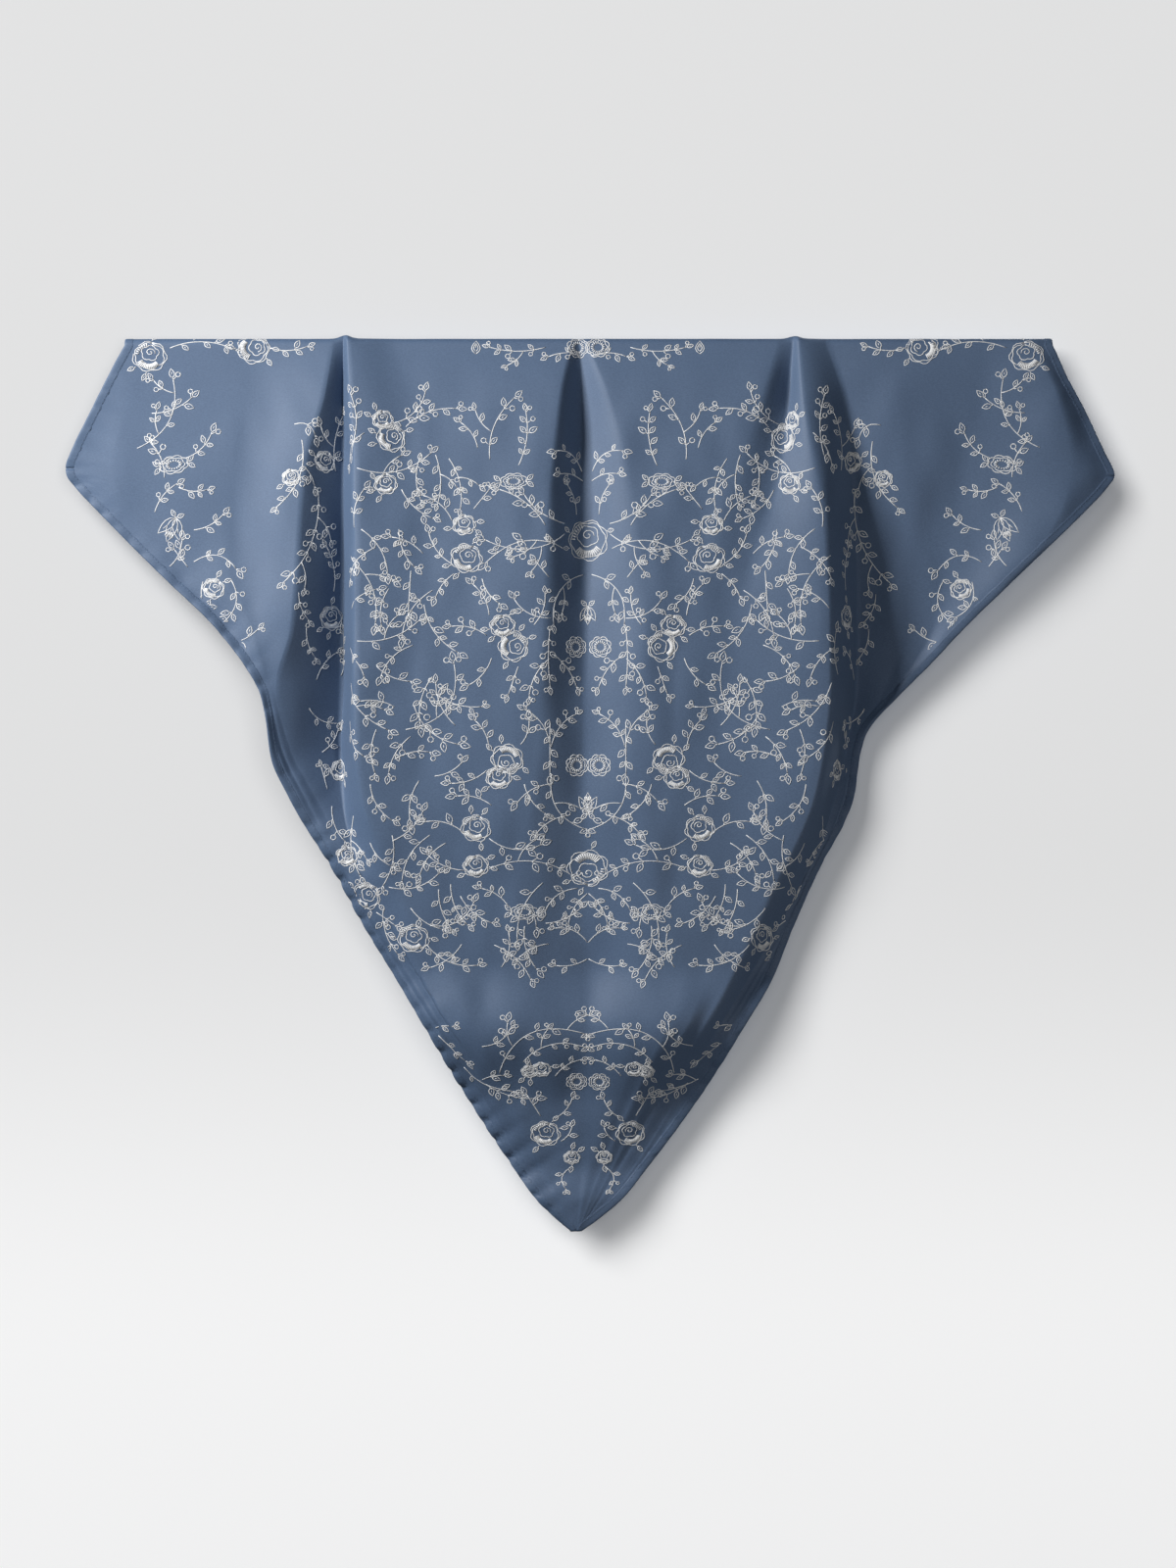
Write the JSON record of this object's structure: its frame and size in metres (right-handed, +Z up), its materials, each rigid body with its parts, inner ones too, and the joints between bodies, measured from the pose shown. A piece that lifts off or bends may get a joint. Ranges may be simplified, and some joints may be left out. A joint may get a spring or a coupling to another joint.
{
  "type": "satin scarf",
  "caption": "Square satin scarf hung on its diagonal over a rail, with pinched pleats, two wing corners and a long pointed front.",
  "frame": {"origin": "on the axis of the rail that the scarf hangs over, at the middle of the folded top edge", "axes": "+X to the right along the fold as seen from the front, +Z up, and the front faces -Y"},
  "size_m": [0.8751, 0.0722, 0.7451],
  "materials": {
    "satin": "dusty blue satin with a soft sheen",
    "turned_hem": "the same satin, turned under and stitched",
    "print": "thin off-white printed lines"
  },
  "bodies": {
    "root": {"satin_panel": "satin", "hem_lower_left": "turned_hem", "hem_lower_right": "turned_hem", "hem_upper_left": "turned_hem", "hem_upper_right": "turned_hem"}
  },
  "joints": []
}
